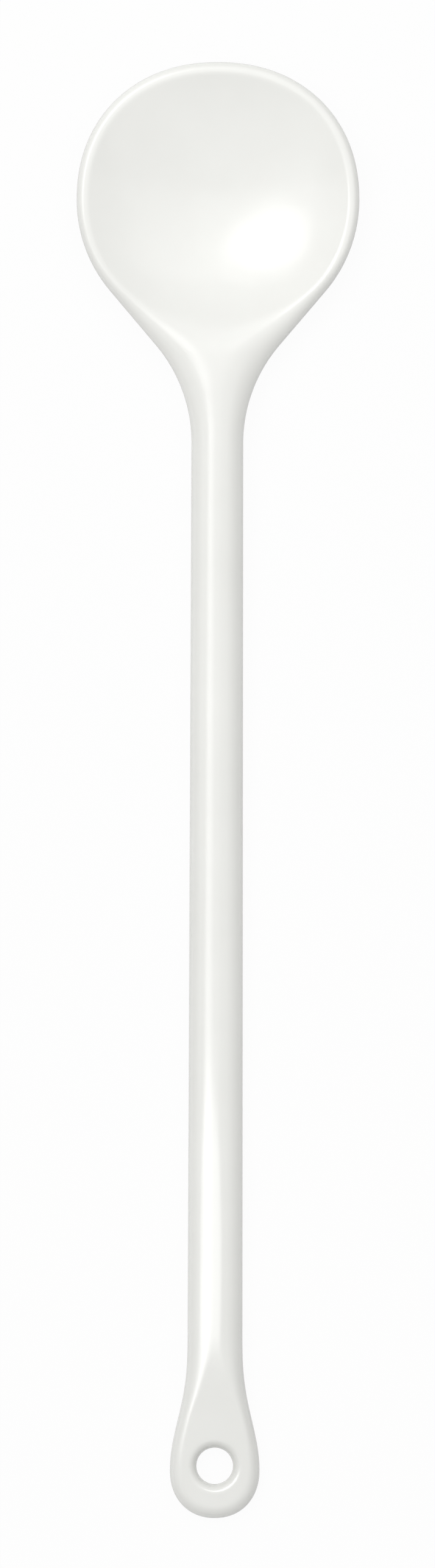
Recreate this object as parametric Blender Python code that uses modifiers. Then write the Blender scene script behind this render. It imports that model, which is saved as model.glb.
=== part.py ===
"""Cooking spoon: one glossy white melamine moulding, modelled as its bowl, neck, handle and hanging eye.

The spoon lies on the plane z = 0 with its hollow facing up and its bowl towards +Y. The origin is on that
plane, at the middle of the spoon's length and width. Sizes are in metres.

Every region is a loft through cross-sections that follow one rule. The same depth of material stands above
and below the parting line, and closes to nothing at the outline in an elliptical edge. In the bowl, a round
hollow is sunk into the top and the underside bellies down to the plane that the spoon lies on.
"""

import math
from typing import NamedTuple

import bmesh
import bpy

MM = 0.001

# Whole spoon
LENGTH = 300 * MM
REGION_GAP = 0.3 * MM

# Bowl: seen from above, nearly half an ellipse at the tip and then a circular arc
BOWL_HALF_WIDTH = 29.1 * MM
BOWL_NOSE = 28.3 * MM
BOWL_PARTING_Z = 7.5 * MM
RIM_HALF_DEPTH = 1.7 * MM
RIM_EDGE_WIDTH = 1.5 * MM
RIM_WIDTH = 2.2 * MM
BELLY_FULLNESS = 1.3

# Hollow: a round dish, deeper towards the neck, with a brink that is crisp at the tip and soft at the neck
HOLLOW_DEPTH = 5.7 * MM
HOLLOW_LEAN = 0.056
HOLLOW_BRINK = 0.03
NECK_BRINK = 0.6

# Neck: a straight shoulder tangent to the bowl's arc and to a fillet that ends on the handle
NECK_FILLET_RADIUS = 31 * MM
NECK_RUN = 50.05 * MM
NECK_ROUNDING_RUN = 40 * MM

# Handle: an oval rod that slopes down from the bowl and bends up a little towards the eye
HANDLE_NECK_HALF_WIDTH = 5.35 * MM
HANDLE_END_HALF_WIDTH = 5.65 * MM
HANDLE_NECK_HALF_DEPTH = 3.8 * MM
HANDLE_END_HALF_DEPTH = 3.2 * MM
HANDLE_FALL = 0.034
HANDLE_RISE = 0.01

# Hanging eye: a flat lug whose widest place is near the hole and whose top face falls towards the end
EYE_HALF_WIDTH = 9.25 * MM
EYE_NOSE = 9.9 * MM
EYE_EDGE_WIDTH = 2.6 * MM
EYE_RUN = 31 * MM
EYE_FLATTENING_RUN = 21 * MM
EYE_TOP_SLOPE = math.tan(math.radians(4.2))
HOLE_OFFSET = 0.9 * MM
HOLE_RADIUS = 3.75 * MM
HOLE_LIP_WIDTH = 1.8 * MM
HOLE_LIP_DEPTH = 2.1 * MM
HOLE_LIP_SWEEP = math.radians(72)
CUTTER_OVERRUN = 0.5 * MM

# Outline at the bowl's tip and the eye's end: 2 would be an ellipse, and more is squarer
NOSE_SQUARENESS = 2.15

# Places along the spoon that follow from these sizes
BOWL_Y = LENGTH / 2 - BOWL_NOSE
HANDLE_START_Y = BOWL_Y - NECK_RUN
EYE_Y = EYE_NOSE - LENGTH / 2
HANDLE_END_Y = EYE_Y + EYE_RUN
EYE_FLAT_Y = HANDLE_END_Y - EYE_FLATTENING_RUN
HOLE_Y = EYE_Y + HOLE_OFFSET
HANDLE_LENGTH = HANDLE_START_Y - HANDLE_END_Y

# Fineness of the lofts
RING_POINTS = 64
BOWL_FAN_STEPS = 20
BOWL_STEPS = 14
NECK_STEPS = 12
HANDLE_STEPS = 12
EYE_FLARE_STEPS = 10
EYE_FLAT_STEPS = 4
EYE_FAN_STEPS = 12
HOLE_STEPS = 36
LIP_STEPS = 5
SHARP_ANGLE = math.radians(40)
MERGE_DISTANCE = 0.001 * MM
OUTLINE_COSINE = 1e-9

MELAMINE_COLOUR = (0.84, 0.84, 0.81, 1.0)
MELAMINE_ROUGHNESS = 0.16


class Section(NamedTuple):
    """One cross-section, from its spine at x = 0 to the outline on each side."""

    spine_y: float
    reach_x: float
    reach_y: float
    half_depth: float
    edge_width: float


def mix(start, end, share):
    return start + (end - start) * share


def ease(share):
    """Go from 0 to 1 with a level start and end."""
    return 0.5 - 0.5 * math.cos(math.pi * min(max(share, 0.0), 1.0))


def spread(start, end, steps):
    return [mix(start, end, step / steps) for step in range(steps + 1)]


def shoulder_angle():
    """Angle on the bowl's arc, from its widest place, where the straight shoulder leaves it."""
    fillet_x = HANDLE_NECK_HALF_WIDTH + NECK_FILLET_RADIUS
    towards_fillet = math.atan2(NECK_RUN, fillet_x)
    between_centres = math.hypot(NECK_RUN, fillet_x)
    return towards_fillet - math.acos((BOWL_HALF_WIDTH + NECK_FILLET_RADIUS) / between_centres)


SHOULDER_ANGLE = shoulder_angle()
NECK_START_Y = HANDLE_START_Y + NECK_FILLET_RADIUS * math.sin(SHOULDER_ANGLE)


def handle_share(y):
    """How far along the handle a place is, from 0 at the neck to 1 at the eye."""
    return min(max((HANDLE_START_Y - y) / HANDLE_LENGTH, 0.0), 1.0)


def outline_half_width(y):
    """Half the spoon's width, from the bowl's widest place to the eye's."""
    run = BOWL_Y - y
    if run < BOWL_HALF_WIDTH * math.sin(SHOULDER_ANGLE):
        return math.sqrt(BOWL_HALF_WIDTH**2 - run**2)
    if y > NECK_START_Y:
        return (BOWL_HALF_WIDTH - run * math.sin(SHOULDER_ANGLE)) / math.cos(SHOULDER_ANGLE)
    if y > HANDLE_START_Y:
        to_handle = y - HANDLE_START_Y
        fillet_rise = NECK_FILLET_RADIUS - math.sqrt(NECK_FILLET_RADIUS**2 - to_handle**2)
        return HANDLE_NECK_HALF_WIDTH + fillet_rise
    handle = mix(HANDLE_NECK_HALF_WIDTH, HANDLE_END_HALF_WIDTH, handle_share(y))
    flare = ease((HANDLE_END_Y - y) / EYE_RUN) ** 2
    return mix(handle, EYE_HALF_WIDTH, flare)


def handle_z(y):
    """Height of the parting line in the rim, the neck and the handle."""
    past_handle = max(HANDLE_END_Y - y, 0.0)
    bend_rise = (HANDLE_FALL + HANDLE_RISE) * (HANDLE_LENGTH * handle_share(y) ** 2 / 2 + past_handle)
    return BOWL_PARTING_Z - HANDLE_FALL * (BOWL_Y - y) + bend_rise


def eye_flatness(y):
    return ease((HANDLE_END_Y - y) / EYE_FLATTENING_RUN)


def eye_drop(y):
    """How far the eye's top face has come down from the handle's end."""
    run = max(HANDLE_END_Y - y, 0.0)
    if run < EYE_FLATTENING_RUN:
        return EYE_TOP_SLOPE * run**2 / (2 * EYE_FLATTENING_RUN)
    return EYE_TOP_SLOPE * (run - EYE_FLATTENING_RUN / 2)


def parting_z(y):
    """Height of the outline, which in the eye is halfway between a level underside and the falling top."""
    return mix(handle_z(y), HANDLE_END_HALF_DEPTH, eye_flatness(y)) - eye_drop(y) / 2


def neck_roundness(y):
    """0 at the bowl's centre and 1 where the neck has the handle's oval section."""
    return ease((BOWL_Y - y) / NECK_ROUNDING_RUN)


def hollow_depth(y, run, reach):
    """Depth of the hollow at a distance from the bowl's centre, where the outline is at a given reach."""
    drop = 1 - (run / (reach - RIM_WIDTH)) ** 2
    brink = mix(HOLLOW_BRINK, NECK_BRINK, neck_roundness(y) ** 3)
    rounded = min(max(drop + brink, 0.0), 2 * brink)
    share = rounded**2 / (4 * brink) + max(drop - brink, 0.0)
    return share * (HOLLOW_DEPTH - HOLLOW_LEAN * (y - BOWL_Y))


def section_at(y):
    """The straight cross-section at a place between the bowl's centre and the eye's widest place."""
    half_width = outline_half_width(y)
    roundness = neck_roundness(y)
    body_edge = mix(RIM_EDGE_WIDTH, half_width, roundness**3)
    handle_half_depth = mix(HANDLE_NECK_HALF_DEPTH, HANDLE_END_HALF_DEPTH, handle_share(y))
    return Section(
        spine_y=y,
        reach_x=half_width,
        reach_y=0.0,
        half_depth=mix(RIM_HALF_DEPTH, handle_half_depth, roundness**2),
        edge_width=mix(body_edge, EYE_EDGE_WIDTH, eye_flatness(y)),
    )


def fan(section, nose, steps):
    """The section folded round its spine in steps, until both sides meet at the nose."""
    folds = []
    power = 2 / NOSE_SQUARENESS
    for angle in spread(0.0, math.pi / 2, steps):
        reach_x = section.reach_x * math.cos(angle) ** power
        reach_y = nose * math.sin(angle) ** power
        folds.append(section._replace(reach_x=reach_x, reach_y=reach_y))
    return folds


def ring(section):
    """Points round a section, starting at the top of its spine and going towards +X."""
    reach = math.hypot(section.reach_x, section.reach_y)
    points = []
    for step in range(RING_POINTS):
        angle = 2 * math.pi * step / RING_POINTS
        across = min(abs(math.sin(angle)), 1.0)
        x = section.reach_x * across
        y = section.spine_y + section.reach_y * across
        inset = min((1 - across) * reach / section.edge_width, 1.0)
        depth = (section.half_depth - eye_drop(y) / 2) * math.sqrt(1 - (1 - inset) ** 2)
        if math.cos(angle) > OUTLINE_COSINE:
            hollow_reach = reach if y > BOWL_Y else BOWL_HALF_WIDTH
            z = parting_z(y) + depth - hollow_depth(y, math.hypot(x, y - BOWL_Y), hollow_reach)
        else:
            belly = (1 - across**2) ** BELLY_FULLNESS * (1 - neck_roundness(y))
            z = (parting_z(y) - depth) * (1 - belly)
        points.append((math.copysign(x, math.sin(angle)), y, z))
    return points


def loft(name, sections, flat_ends):
    """A closed mesh through the sections, with a flat face across each end in flat_ends."""
    bm = bmesh.new()
    rings = [[bm.verts.new(point) for point in ring(section)] for section in sections]
    for near, far in zip(rings, rings[1:]):
        for here in range(RING_POINTS):
            after = (here + 1) % RING_POINTS
            bm.faces.new((near[here], near[after], far[after], far[here]))
    for end in flat_ends:
        bm.faces.new(rings[end])
    bmesh.ops.remove_doubles(bm, verts=bm.verts, dist=MERGE_DISTANCE)
    bmesh.ops.recalc_face_normals(bm, faces=bm.faces)
    mesh = bpy.data.meshes.new(name)
    bm.to_mesh(mesh)
    bm.free()
    mesh.shade_smooth()
    mesh.set_sharp_from_angle(angle=SHARP_ANGLE)
    return bpy.data.objects.new(name, mesh)


def make_bowl():
    front = fan(section_at(BOWL_Y), BOWL_NOSE, BOWL_FAN_STEPS)
    back_places = spread(BOWL_Y, NECK_START_Y + REGION_GAP / 2, BOWL_STEPS)
    back = [section_at(y) for y in back_places[1:]]
    return loft("bowl", front[::-1] + back, flat_ends=(-1,))


def make_neck():
    places = spread(NECK_START_Y - REGION_GAP / 2, HANDLE_START_Y + REGION_GAP / 2, NECK_STEPS)
    return loft("neck", [section_at(y) for y in places], flat_ends=(0, -1))


def make_handle():
    places = spread(HANDLE_START_Y - REGION_GAP / 2, HANDLE_END_Y + REGION_GAP / 2, HANDLE_STEPS)
    return loft("handle", [section_at(y) for y in places], flat_ends=(0, -1))


def make_hanging_eye(hole_cutter):
    flare_places = spread(HANDLE_END_Y - REGION_GAP / 2, EYE_FLAT_Y, EYE_FLARE_STEPS)
    flat_places = spread(EYE_FLAT_Y, EYE_Y, EYE_FLAT_STEPS)
    sections = [section_at(y) for y in flare_places + flat_places[1:]]
    end = fan(section_at(EYE_Y), -EYE_NOSE, EYE_FAN_STEPS)
    eye = loft("hanging_eye", sections + end[1:], flat_ends=(0,))
    hole = eye.modifiers.new("hanging_hole", "BOOLEAN")
    hole.operation = "DIFFERENCE"
    hole.solver = "EXACT"
    hole.object = hole_cutter
    return eye


def make_hole_cutter():
    """A turned plug with flared ends, square between the eye's two faces, which leaves rounded lips."""
    half_depth = HANDLE_END_HALF_DEPTH - eye_drop(HOLE_Y) / 2
    lip = []
    for angle in spread(HOLE_LIP_SWEEP, 0.0, LIP_STEPS):
        radius = HOLE_RADIUS + HOLE_LIP_WIDTH * (1 - math.cos(angle))
        lip.append((radius, half_depth - HOLE_LIP_DEPTH * (1 - math.sin(angle))))
    mouth_spread = CUTTER_OVERRUN * math.tan(HOLE_LIP_SWEEP) * HOLE_LIP_WIDTH / HOLE_LIP_DEPTH
    mouth = (lip[0][0] + mouth_spread, lip[0][1] + CUTTER_OVERRUN)
    upper = [(0.0, mouth[1]), mouth] + lip
    lower = [(radius, -z) for radius, z in reversed(upper)]
    profile = [(radius, 0.0, z) for radius, z in upper + lower]

    mesh = bpy.data.meshes.new("hole_cutter")
    mesh.from_pydata(profile, [(i, i + 1) for i in range(len(profile) - 1)], [])
    cutter = bpy.data.objects.new("hole_cutter", mesh)
    cutter.location = (0.0, HOLE_Y, parting_z(HOLE_Y))
    cutter.rotation_euler.x = math.atan(EYE_TOP_SLOPE) / 2
    cutter.hide_render = True
    cutter.display_type = "WIRE"
    turning = cutter.modifiers.new("turning", "SCREW")
    turning.steps = HOLE_STEPS
    turning.render_steps = HOLE_STEPS
    turning.use_merge_vertices = True
    turning.merge_threshold = MERGE_DISTANCE
    return cutter


def melamine(part_name):
    material = bpy.data.materials.new(part_name + "_melamine")
    material.use_nodes = True
    shader = material.node_tree.nodes["Principled BSDF"]
    shader.inputs["Base Color"].default_value = MELAMINE_COLOUR
    shader.inputs["Roughness"].default_value = MELAMINE_ROUGHNESS
    shader.inputs["Metallic"].default_value = 0.0
    material.diffuse_color = MELAMINE_COLOUR
    return material


def new_collection(name):
    collection = bpy.data.collections.new(name)
    bpy.context.scene.collection.children.link(collection)
    return collection


def main():
    for old in list(bpy.data.objects):
        bpy.data.objects.remove(old, do_unlink=True)
    spoon = new_collection("cooking_spoon")
    cutters = new_collection("cutters")

    hole_cutter = make_hole_cutter()
    cutters.objects.link(hole_cutter)

    reference = bpy.data.objects.new("spoon_reference", None)
    spoon.objects.link(reference)
    for part in (make_bowl(), make_neck(), make_handle(), make_hanging_eye(hole_cutter)):
        part.data.materials.append(melamine(part.name))
        part.parent = reference
        spoon.objects.link(part)


main()
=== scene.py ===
"""The cooking spoon's looks: one seamless skin of glossy melamine, in a plain white studio.

The spoon lies on the plane z = 0 with its hollow facing up and its bowl towards +Y. Sizes are in metres.
"""

import math
from typing import NamedTuple

import bmesh
import bpy
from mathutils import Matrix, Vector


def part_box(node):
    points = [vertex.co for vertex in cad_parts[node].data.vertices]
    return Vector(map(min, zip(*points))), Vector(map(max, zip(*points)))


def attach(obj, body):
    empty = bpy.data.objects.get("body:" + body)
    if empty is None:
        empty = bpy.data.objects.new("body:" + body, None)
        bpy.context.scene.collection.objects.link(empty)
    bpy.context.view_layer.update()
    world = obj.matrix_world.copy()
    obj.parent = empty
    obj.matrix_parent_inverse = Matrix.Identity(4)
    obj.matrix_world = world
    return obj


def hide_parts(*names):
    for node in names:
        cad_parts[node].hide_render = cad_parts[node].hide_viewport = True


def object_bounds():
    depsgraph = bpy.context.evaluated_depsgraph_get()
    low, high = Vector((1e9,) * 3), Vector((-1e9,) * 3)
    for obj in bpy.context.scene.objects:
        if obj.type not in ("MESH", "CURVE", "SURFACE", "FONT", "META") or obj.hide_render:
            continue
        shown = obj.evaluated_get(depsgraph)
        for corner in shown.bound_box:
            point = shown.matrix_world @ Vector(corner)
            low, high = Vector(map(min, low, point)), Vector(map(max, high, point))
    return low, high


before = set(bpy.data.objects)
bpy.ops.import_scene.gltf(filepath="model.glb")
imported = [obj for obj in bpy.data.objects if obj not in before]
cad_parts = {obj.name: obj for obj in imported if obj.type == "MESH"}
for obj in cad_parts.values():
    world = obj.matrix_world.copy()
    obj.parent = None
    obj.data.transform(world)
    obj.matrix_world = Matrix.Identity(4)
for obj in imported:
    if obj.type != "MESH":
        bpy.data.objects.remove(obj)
cad_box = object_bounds()

MM = 0.001

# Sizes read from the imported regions
LENGTH = cad_box[1].y - cad_box[0].y
BOWL_HALF_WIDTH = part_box("bowl")[1].x
EYE_HALF_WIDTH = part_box("hanging_eye")[1].x

# Bowl: seen from above, nearly half an ellipse at the tip and then a circular arc
BOWL_NOSE = 28.3 * MM
BOWL_PARTING_Z = 7.5 * MM
RIM_HALF_DEPTH = 1.7 * MM
RIM_EDGE_WIDTH = 1.5 * MM
RIM_WIDTH = 2.2 * MM
HOLLOW_DEPTH = 5.7 * MM
HOLLOW_LEAN = 0.056
HOLLOW_BRINK = 0.03
BELLY_FULLNESS = 1.3

# Neck: a straight shoulder tangent to the bowl's arc and to a fillet that ends on the handle
NECK_FILLET_RADIUS = 31 * MM
NECK_RUN = 50.05 * MM
NECK_ROUNDING_RUN = 40 * MM
NECK_BRINK = 0.6

# The higher these powers, the later the rim's edge and depth give way to the neck's
NECK_EDGE_POWER = 3
NECK_DEPTH_POWER = 2

# Handle: an oval rod that slopes down from the bowl and bends up a little towards the eye
HANDLE_NECK_HALF_WIDTH = 5.35 * MM
HANDLE_END_HALF_WIDTH = 5.65 * MM
HANDLE_NECK_HALF_DEPTH = 3.8 * MM
HANDLE_END_HALF_DEPTH = 3.2 * MM
HANDLE_FALL = 0.034
HANDLE_RISE = 0.01

# Hanging eye: a flat lug whose widest place is at the hole and whose top face falls towards the end
EYE_NOSE = 9.9 * MM
EYE_EDGE_WIDTH = 2.6 * MM
EYE_RUN = 31 * MM
EYE_FLARE_POWER = 2
EYE_FLATTENING_RUN = 21 * MM
EYE_TOP_SLOPE = math.tan(math.radians(4.2))
HOLE_OFFSET = 0.9 * MM
HOLE_RADIUS = 3.75 * MM
HOLE_LIP_WIDTH = 1.8 * MM
HOLE_LIP_DEPTH = 2.1 * MM

# Outline at the bowl's tip and the eye's end: 2 would be an ellipse, and more is squarer
NOSE_SQUARENESS = 2.15

# Places along the spoon that follow from these sizes
BOWL_Y = LENGTH / 2 - BOWL_NOSE
HANDLE_START_Y = BOWL_Y - NECK_RUN
EYE_Y = EYE_NOSE - LENGTH / 2
HANDLE_END_Y = EYE_Y + EYE_RUN
EYE_FLAT_Y = HANDLE_END_Y - EYE_FLATTENING_RUN
HOLE_Y = EYE_Y + HOLE_OFFSET
HANDLE_LENGTH = HANDLE_START_Y - HANDLE_END_Y

# Fineness of the skin
RING_POINTS = 256
BOWL_FAN_STEPS = 72
BOWL_STEPS = 56
NECK_STEPS = 48
HANDLE_STEPS = 96
EYE_FLARE_STEPS = 48
EYE_SIDE_STEPS = 20
EYE_END_STEPS = 64
EYE_FACE_STEPS = 28
LIP_STEPS = 12
MERGE_DISTANCE = 0.0005 * MM
OUTLINE_COSINE = 1e-9

# Photograph: its size, and the spoon's scale, middle and turn in it
PHOTO_WIDTH = 714
PHOTO_HEIGHT = 2576
PIXELS_PER_METRE = 7962
SPOON_CENTRE_PIXEL = (355.3, 1299)
SPOON_TURN = math.radians(0.15)


class Section(NamedTuple):
    """One cross-section, from its spine at x = 0 to the outline on each side."""

    spine_y: float
    reach_x: float
    reach_y: float
    half_depth: float
    edge_width: float


def mix(start, end, share):
    return start + (end - start) * share


def ease(share):
    """Go from 0 to 1 with a level start and end."""
    return 0.5 - 0.5 * math.cos(math.pi * min(max(share, 0.0), 1.0))


def spread(start, end, steps):
    return [mix(start, end, step / steps) for step in range(steps + 1)]


def shoulder_angle():
    """Angle on the bowl's arc, from its widest place, where the straight shoulder leaves it."""
    fillet_x = HANDLE_NECK_HALF_WIDTH + NECK_FILLET_RADIUS
    towards_fillet = math.atan2(NECK_RUN, fillet_x)
    between_centres = math.hypot(NECK_RUN, fillet_x)
    return towards_fillet - math.acos((BOWL_HALF_WIDTH + NECK_FILLET_RADIUS) / between_centres)


SHOULDER_ANGLE = shoulder_angle()
NECK_START_Y = HANDLE_START_Y + NECK_FILLET_RADIUS * math.sin(SHOULDER_ANGLE)


def handle_share(y):
    """0 at the handle's start and 1 from its end onwards."""
    return min(max((HANDLE_START_Y - y) / HANDLE_LENGTH, 0.0), 1.0)


def outline_half_width(y):
    """Half the spoon's width, from the bowl's widest place to the eye's."""
    run = BOWL_Y - y
    if run < BOWL_HALF_WIDTH * math.sin(SHOULDER_ANGLE):
        return math.sqrt(BOWL_HALF_WIDTH**2 - run**2)
    if y > NECK_START_Y:
        return (BOWL_HALF_WIDTH - run * math.sin(SHOULDER_ANGLE)) / math.cos(SHOULDER_ANGLE)
    if y > HANDLE_START_Y:
        to_handle = y - HANDLE_START_Y
        fillet_rise = NECK_FILLET_RADIUS - math.sqrt(NECK_FILLET_RADIUS**2 - to_handle**2)
        return HANDLE_NECK_HALF_WIDTH + fillet_rise
    handle = mix(HANDLE_NECK_HALF_WIDTH, HANDLE_END_HALF_WIDTH, handle_share(y))
    flare = ease((HANDLE_END_Y - y) / EYE_RUN) ** EYE_FLARE_POWER
    return mix(handle, EYE_HALF_WIDTH, flare)


def handle_z(y):
    """Height of the outline in the rim, the neck and the handle."""
    past_handle = max(HANDLE_END_Y - y, 0.0)
    bend_rise = (HANDLE_FALL + HANDLE_RISE) * (HANDLE_LENGTH * handle_share(y) ** 2 / 2 + past_handle)
    return BOWL_PARTING_Z - HANDLE_FALL * (BOWL_Y - y) + bend_rise


def eye_flatness(y):
    """0 at the handle's end and 1 where the eye is flat."""
    return ease((HANDLE_END_Y - y) / EYE_FLATTENING_RUN)


def eye_drop(y):
    """How far the eye's top face has come down from the handle's end."""
    run = max(HANDLE_END_Y - y, 0.0)
    if run < EYE_FLATTENING_RUN:
        return EYE_TOP_SLOPE * run**2 / (2 * EYE_FLATTENING_RUN)
    return EYE_TOP_SLOPE * (run - EYE_FLATTENING_RUN / 2)


def parting_z(y):
    """Height of the outline, which in the eye is halfway between a level underside and the falling top."""
    return mix(handle_z(y), HANDLE_END_HALF_DEPTH, eye_flatness(y)) - eye_drop(y) / 2


def neck_roundness(y):
    """0 at the bowl's centre and 1 where the neck has the handle's oval section."""
    return ease((BOWL_Y - y) / NECK_ROUNDING_RUN)


def hollow_depth(y, run, reach):
    """Depth of the round hollow at a run from the bowl's centre, with the outline at the reach."""
    drop = 1 - (run / (reach - RIM_WIDTH)) ** 2
    brink = mix(HOLLOW_BRINK, NECK_BRINK, neck_roundness(y) ** NECK_EDGE_POWER)
    rounded = min(max(drop + brink, 0.0), 2 * brink)
    share = rounded**2 / (4 * brink) + max(drop - brink, 0.0)
    return share * (HOLLOW_DEPTH - HOLLOW_LEAN * (y - BOWL_Y))


def section_at(y):
    """The straight cross-section at a place between the bowl's centre and the hole's."""
    half_width = outline_half_width(y)
    roundness = neck_roundness(y)
    body_edge = mix(RIM_EDGE_WIDTH, half_width, roundness**NECK_EDGE_POWER)
    handle_half_depth = mix(HANDLE_NECK_HALF_DEPTH, HANDLE_END_HALF_DEPTH, handle_share(y))
    return Section(
        spine_y=y,
        reach_x=half_width,
        reach_y=0.0,
        half_depth=mix(RIM_HALF_DEPTH, handle_half_depth, roundness**NECK_DEPTH_POWER),
        edge_width=mix(body_edge, EYE_EDGE_WIDTH, eye_flatness(y)),
    )


def nose_outline(half_width, nose, angle):
    """Place on an outline's rounded end, from its widest place at angle 0 to its tip at a quarter turn."""
    power = 2 / NOSE_SQUARENESS
    return half_width * math.cos(angle) ** power, nose * math.sin(angle) ** power


def edge_fullness(inset):
    """Share of the full depth at a place, from its distance to the outline in edge widths."""
    return math.sqrt(1 - (1 - min(inset, 1.0)) ** 2)


def ring(section):
    """Points round a section, starting at the top of its spine and going towards +X."""
    reach = math.hypot(section.reach_x, section.reach_y)
    points = []
    for step in range(RING_POINTS):
        angle = 2 * math.pi * step / RING_POINTS
        across = min(abs(math.sin(angle)), 1.0)
        x = section.reach_x * across
        y = section.spine_y + section.reach_y * across
        inset = (1 - across) * reach / section.edge_width
        depth = (section.half_depth - eye_drop(y) / 2) * edge_fullness(inset)
        if math.cos(angle) > OUTLINE_COSINE:
            centre_reach = reach if y > BOWL_Y else BOWL_HALF_WIDTH
            z = parting_z(y) + depth - hollow_depth(y, math.hypot(x, y - BOWL_Y), centre_reach)
        else:
            belly = (1 - across**2) ** BELLY_FULLNESS * (1 - neck_roundness(y))
            z = (parting_z(y) - depth) * (1 - belly)
        points.append((math.copysign(x, math.sin(angle)), y, z))
    return points


def bowl_front():
    """The bowl's widest section folded round its spine, from the tip back to the widest place."""
    widest = section_at(BOWL_Y)
    folds = []
    for angle in spread(math.pi / 2, 0.0, BOWL_FAN_STEPS):
        reach_x, reach_y = nose_outline(widest.reach_x, BOWL_NOSE, angle)
        folds.append(widest._replace(reach_x=reach_x, reach_y=reach_y))
    return folds


def body_sections():
    """Straight sections from behind the bowl's widest place to where the eye is flat."""
    places = (
        spread(BOWL_Y, NECK_START_Y, BOWL_STEPS)[1:]
        + spread(NECK_START_Y, HANDLE_START_Y, NECK_STEPS)[1:]
        + spread(HANDLE_START_Y, HANDLE_END_Y, HANDLE_STEPS)[1:]
        + spread(HANDLE_END_Y, EYE_FLAT_Y, EYE_FLARE_STEPS)[1:]
    )
    return [section_at(y) for y in places]


def eye_outline(last_ring):
    """Places round the eye's flat end: its two sides, its rounded end and the top of the ring it joins."""
    right = [(outline_half_width(y), y) for y in spread(EYE_FLAT_Y, EYE_Y, EYE_SIDE_STEPS)]
    for angle in spread(0.0, math.pi / 2, EYE_END_STEPS)[1:]:
        x, run = nose_outline(EYE_HALF_WIDTH, EYE_NOSE, angle)
        right.append((x, EYE_Y - run))
    left = [(-x, y) for x, y in reversed(right[:-1])]
    quarter = RING_POINTS // 4
    join = last_ring[-quarter + 1 :] + last_ring[:quarter]
    return right + left + [(x, y) for x, y, _ in join]


def eye_inset(x, y):
    """Distance from a place on the eye to its outline, in edge widths."""
    if y > EYE_Y:
        return (outline_half_width(y) - abs(x)) / EYE_EDGE_WIDTH
    across = (abs(x) / EYE_HALF_WIDTH) ** NOSE_SQUARENESS
    along = ((EYE_Y - y) / EYE_NOSE) ** NOSE_SQUARENESS
    share = (across + along) ** (1 / NOSE_SQUARENESS)
    return (1 / share - 1) * math.hypot(x, EYE_Y - y) / EYE_EDGE_WIDTH


def eye_spoke(edge_x, edge_y, side):
    """Points from halfway down the hole's wall, over its lip and across the face to the outline."""
    reach = math.hypot(edge_x, edge_y - HOLE_Y)
    towards = (edge_x / reach, (edge_y - HOLE_Y) / reach)
    lip_reach = HOLE_RADIUS + HOLE_LIP_WIDTH

    def place(run, lip_drop):
        x = towards[0] * run
        y = HOLE_Y + towards[1] * run
        half_depth = HANDLE_END_HALF_DEPTH - eye_drop(y) / 2
        depth = half_depth * edge_fullness(max(eye_inset(x, y), 0.0)) - lip_drop
        return (x, y, parting_z(y) + side * depth)

    wall_x = towards[0] * HOLE_RADIUS
    wall_y = HOLE_Y + towards[1] * HOLE_RADIUS
    points = [(wall_x, wall_y, parting_z(wall_y))]
    for angle in spread(0.0, math.pi / 2, LIP_STEPS):
        run = HOLE_RADIUS + HOLE_LIP_WIDTH * (1 - math.cos(angle))
        points.append(place(run, HOLE_LIP_DEPTH * (1 - math.sin(angle))))
    for angle in spread(0.0, math.pi / 2, EYE_FACE_STEPS)[1:]:
        points.append(place(mix(lip_reach, reach, math.sin(angle)), 0.0))
    return points


def bridge(bm, near, far):
    """Quads between two closed loops of as many vertices."""
    for here in range(len(near)):
        after = (here + 1) % len(near)
        bm.faces.new((near[here], near[after], far[after], far[here]))


def make_spoon():
    """One closed skin: rings from the bowl's tip to the eye, then the eye's two faces round its hole."""
    bm = bmesh.new()
    rings = [ring(section) for section in bowl_front() + body_sections()]
    loops = [[bm.verts.new(point) for point in points] for points in rings]
    for near, far in zip(loops, loops[1:]):
        bridge(bm, near, far)
    outline = eye_outline(rings[-1])
    for side in (1, -1):
        spokes = [[bm.verts.new(point) for point in eye_spoke(x, y, side)] for x, y in outline]
        for near, far in zip(spokes, spokes[1:] + spokes[:1]):
            for inner in range(len(near) - 1):
                bm.faces.new((near[inner], far[inner], far[inner + 1], near[inner + 1]))
    bmesh.ops.remove_doubles(bm, verts=bm.verts, dist=MERGE_DISTANCE)
    bmesh.ops.recalc_face_normals(bm, faces=bm.faces)
    mesh = bpy.data.meshes.new("spoon_skin")
    bm.to_mesh(mesh)
    bm.free()
    mesh.shade_smooth()
    spoon = bpy.data.objects.new("spoon_skin", mesh)
    bpy.context.scene.collection.objects.link(spoon)
    return spoon


# Melamine: off-white and glossy, faintly cloudy, with a fine moulded ripple and a little wear
MELAMINE_LIGHT = (0.853, 0.855, 0.824, 1.0)
MELAMINE_DARK = (0.823, 0.825, 0.794, 1.0)
MELAMINE_IOR = 1.55
CLOUD_SCALE = 45
CLOUD_DETAIL = 3
CLOUD_DARKEST = 0.3
CLOUD_LIGHTEST = 0.7
WEAR_SCALE = 260
WEAR_DETAIL = 5
WEAR_LEAST = 0.35
WEAR_MOST = 0.75
POLISHED_ROUGHNESS = 0.13
WORN_ROUGHNESS = 0.19
RIPPLE_SCALE = 420
RIPPLE_DETAIL = 2
RIPPLE_STRENGTH = 0.06
RIPPLE_HEIGHT = 0.1 * MM


def add_node(tree, kind, **settings):
    node = tree.nodes.new(kind)
    for name, value in settings.items():
        setattr(node, name, value)
    return node


def noise(tree, place, scale, detail):
    node = add_node(tree, "ShaderNodeTexNoise")
    node.inputs["Scale"].default_value = scale
    node.inputs["Detail"].default_value = detail
    tree.links.new(place, node.inputs["Vector"])
    return node.outputs["Fac"]


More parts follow.
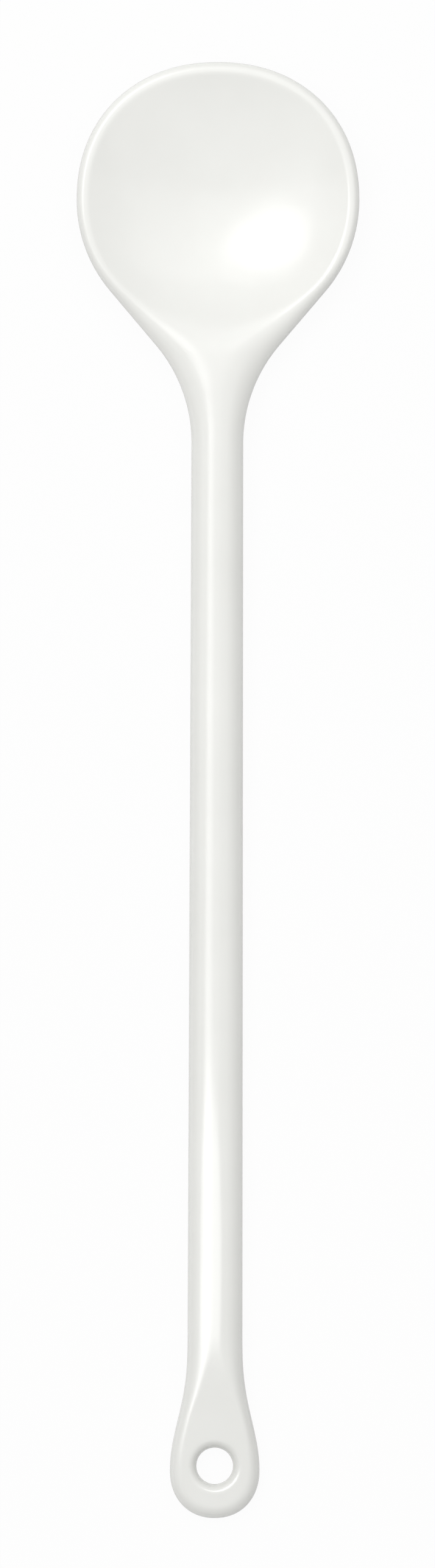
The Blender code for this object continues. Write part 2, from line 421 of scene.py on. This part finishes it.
def make_melamine():
    material = bpy.data.materials.new("melamine")
    material.use_nodes = True
    tree = material.node_tree
    shader = tree.nodes["Principled BSDF"]
    shader.inputs["IOR"].default_value = MELAMINE_IOR
    place = add_node(tree, "ShaderNodeTexCoord").outputs["Object"]

    cloud = noise(tree, place, CLOUD_SCALE, CLOUD_DETAIL)
    colours = add_node(tree, "ShaderNodeValToRGB")
    dark, light = colours.color_ramp.elements
    dark.position = CLOUD_DARKEST
    dark.color = MELAMINE_DARK
    light.position = CLOUD_LIGHTEST
    light.color = MELAMINE_LIGHT
    tree.links.new(cloud, colours.inputs["Fac"])
    tree.links.new(colours.outputs["Color"], shader.inputs["Base Color"])

    wear = noise(tree, place, WEAR_SCALE, WEAR_DETAIL)
    roughness = add_node(tree, "ShaderNodeMapRange")
    roughness.inputs["From Min"].default_value = WEAR_LEAST
    roughness.inputs["From Max"].default_value = WEAR_MOST
    roughness.inputs["To Min"].default_value = POLISHED_ROUGHNESS
    roughness.inputs["To Max"].default_value = WORN_ROUGHNESS
    tree.links.new(wear, roughness.inputs["Value"])
    tree.links.new(roughness.outputs["Result"], shader.inputs["Roughness"])

    ripple = noise(tree, place, RIPPLE_SCALE, RIPPLE_DETAIL)
    bump = add_node(tree, "ShaderNodeBump")
    bump.inputs["Strength"].default_value = RIPPLE_STRENGTH
    bump.inputs["Distance"].default_value = RIPPLE_HEIGHT
    tree.links.new(ripple, bump.inputs["Height"])
    tree.links.new(bump.outputs["Normal"], shader.inputs["Normal"])
    return material


# Studio: a white floor, a dim even sky and level soft lamps
FLOOR_SIZE = 60.0
FLOOR_GAP = 0.1 * MM
FLOOR_ALBEDO = 0.75
FLOOR_OWN_WHITE = 0.95
SKY_STRENGTH = 0.3


class Lamp(NamedTuple):
    """A level lamp: its height, and its edges' angles from straight above the bowl, in degrees."""

    height: float
    right: float
    left: float
    behind: float
    ahead: float
    radiance: float
    shape: str = "RECTANGLE"
    in_gloss: bool = True
    in_diffuse: bool = True


LAMPS = {
    "overhead_panel": Lamp(9.4, right=35, left=35, behind=35, ahead=35, radiance=0.42),
    "front_panel": Lamp(9.3, right=50, left=55, behind=10, ahead=60, radiance=0.5),
    "side_panel": Lamp(9.2, right=-25, left=62, behind=50, ahead=50, radiance=0.15),
    "soft_halo": Lamp(9.15, right=9, left=24, behind=12, ahead=20, radiance=0.35),
    "round_glow": Lamp(9.1, right=1, left=35, behind=9, ahead=40, radiance=0.75, shape="ELLIPSE"),
    "round_lamp": Lamp(9.0, right=-4.5, left=36, behind=5, ahead=29, radiance=1.9, shape="ELLIPSE"),
    "bowl_fill": Lamp(0.2, right=26, left=26, behind=-2, ahead=42, radiance=0.66, in_gloss=False),
    "grip_lamp": Lamp(
        0.15, right=15, left=41, behind=59.8, ahead=-51, radiance=2.8, shape="ELLIPSE", in_diffuse=False
    ),
    "eye_lamp": Lamp(
        0.14, right=-12, left=45, behind=63, ahead=-58, radiance=1.2, shape="ELLIPSE", in_diffuse=False
    ),
}


def shown_ray(tree):
    """1 for the rays that show a background: from the camera, off gloss or through glass."""
    rays = add_node(tree, "ShaderNodeLightPath")
    camera_or_gloss = add_node(tree, "ShaderNodeMath", operation="MAXIMUM")
    tree.links.new(rays.outputs["Is Camera Ray"], camera_or_gloss.inputs[0])
    tree.links.new(rays.outputs["Is Glossy Ray"], camera_or_gloss.inputs[1])
    shown = add_node(tree, "ShaderNodeMath", operation="MAXIMUM")
    tree.links.new(camera_or_gloss.outputs[0], shown.inputs[0])
    tree.links.new(rays.outputs["Is Transmission Ray"], shown.inputs[1])
    return shown.outputs[0]


def make_floor():
    half = FLOOR_SIZE / 2
    corners = [(-half, -half, 0.0), (half, -half, 0.0), (half, half, 0.0), (-half, half, 0.0)]
    mesh = bpy.data.meshes.new("floor")
    mesh.from_pydata(corners, [], [(0, 1, 2, 3)])
    floor = bpy.data.objects.new("floor", mesh)
    floor.location.z = -FLOOR_GAP
    bpy.context.scene.collection.objects.link(floor)

    material = bpy.data.materials.new("white_floor")
    material.use_nodes = True
    tree = material.node_tree
    tree.nodes.remove(tree.nodes["Principled BSDF"])
    paint = add_node(tree, "ShaderNodeBsdfDiffuse")
    paint.inputs["Color"].default_value = (FLOOR_ALBEDO, FLOOR_ALBEDO, FLOOR_ALBEDO, 1.0)
    white = add_node(tree, "ShaderNodeEmission")
    share = add_node(tree, "ShaderNodeMath", operation="MULTIPLY")
    share.inputs[1].default_value = FLOOR_OWN_WHITE
    tree.links.new(shown_ray(tree), share.inputs[0])
    surface = add_node(tree, "ShaderNodeMixShader")
    tree.links.new(share.outputs[0], surface.inputs["Fac"])
    tree.links.new(paint.outputs["BSDF"], surface.inputs[1])
    tree.links.new(white.outputs["Emission"], surface.inputs[2])
    tree.links.new(surface.outputs["Shader"], tree.nodes["Material Output"].inputs["Surface"])
    floor.data.materials.append(material)


def make_sky():
    world = bpy.data.worlds.new("soft_sky")
    world.use_nodes = True
    bpy.context.scene.world = world
    sky = world.node_tree.nodes["Background"]
    sky.inputs["Color"].default_value = (1.0, 1.0, 1.0, 1.0)
    sky.inputs["Strength"].default_value = SKY_STRENGTH


def make_lamp(name, lamp):
    """An area light that shines down with the lamp's radiance all over, and that no view shows."""
    low_x = -lamp.height * math.tan(math.radians(lamp.left))
    high_x = lamp.height * math.tan(math.radians(lamp.right))
    low_y = BOWL_Y - lamp.height * math.tan(math.radians(lamp.behind))
    high_y = BOWL_Y + lamp.height * math.tan(math.radians(lamp.ahead))
    light = bpy.data.lights.new(name, "AREA")
    light.shape = lamp.shape
    light.size = high_x - low_x
    light.size_y = high_y - low_y
    area = light.size * light.size_y * (math.pi / 4 if lamp.shape == "ELLIPSE" else 1.0)
    light.energy = lamp.radiance * math.pi * area
    placed = bpy.data.objects.new(name, light)
    placed.location = (mix(low_x, high_x, 0.5), mix(low_y, high_y, 0.5), lamp.height)
    placed.visible_camera = False
    placed.visible_glossy = lamp.in_gloss
    placed.visible_diffuse = lamp.in_diffuse
    bpy.context.scene.collection.objects.link(placed)


# Camera: straight above, and far enough away that the hole shows no slant
LENS = 400 * MM
SENSOR = 36 * MM
CAMERA_RANGE = 100.0


def make_camera():
    data = bpy.data.cameras.new("camera")
    data.lens = LENS / MM
    data.sensor_width = SENSOR / MM
    data.clip_end = CAMERA_RANGE
    camera = bpy.data.objects.new("camera", data)
    frame_height = PHOTO_HEIGHT / PIXELS_PER_METRE
    camera.location = (
        (PHOTO_WIDTH / 2 - SPOON_CENTRE_PIXEL[0]) / PIXELS_PER_METRE,
        (SPOON_CENTRE_PIXEL[1] - PHOTO_HEIGHT / 2) / PIXELS_PER_METRE,
        LENS / SENSOR * frame_height,
    )
    camera.rotation_euler = (0.0, 0.0, SPOON_TURN)
    bpy.context.scene.collection.objects.link(camera)
    bpy.context.scene.camera = camera


def main():
    spoon = make_spoon()
    spoon.data.materials.append(make_melamine())
    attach(spoon, "root")
    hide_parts("bowl", "neck", "handle", "hanging_eye")

    make_floor()
    make_sky()
    for name, lamp in LAMPS.items():
        make_lamp(name, lamp)
    make_camera()
    bpy.context.scene.view_settings.view_transform = "Standard"


main()
